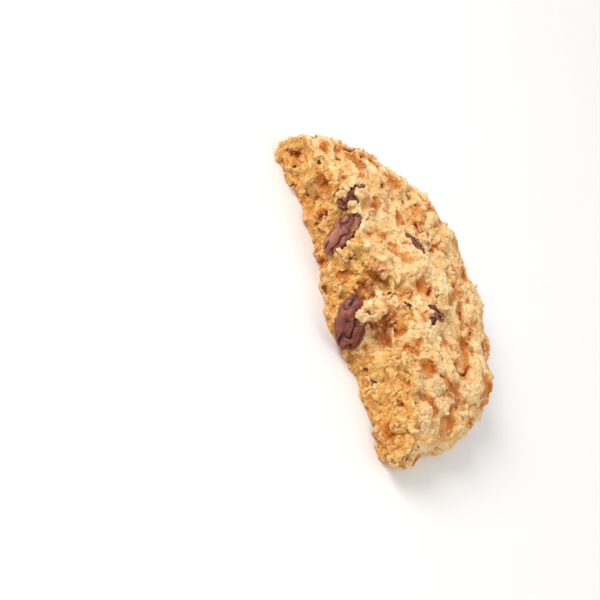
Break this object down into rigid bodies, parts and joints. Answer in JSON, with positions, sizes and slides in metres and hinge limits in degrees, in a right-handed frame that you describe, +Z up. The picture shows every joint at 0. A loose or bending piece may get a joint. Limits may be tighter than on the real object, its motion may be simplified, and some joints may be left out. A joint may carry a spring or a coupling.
{
  "type": "oatmeal raisin cookie",
  "caption": "Broken round oatmeal raisin cookie, rather more than half of it, with a flat base, a lumpy crust, a jagged crumb face and raisins.",
  "frame": {"origin": "centre of the bounding box, at the flat underside", "axes": "+Z up, out of the baked top; +X along the length of the break; the broken face looks towards -Y"},
  "size_m": [0.0878, 0.0642, 0.0166],
  "materials": {
    "baked_dough": "baked oat dough: dry, matt, golden tan crust with a paler, porous crumb in the break",
    "dark_raisin": "dried grape: wrinkled, dark purple-brown, dull sheen",
    "red_raisin": "dried grape: wrinkled, red-brown, dusted with crumb"
  },
  "bodies": {
    "root": {"cookie_dough": "baked_dough", "raisin_top_edge": "dark_raisin", "raisin_red": "red_raisin", "raisin_large": "dark_raisin", "raisin_sliver": "dark_raisin", "raisin_covered": "dark_raisin"}
  },
  "joints": []
}
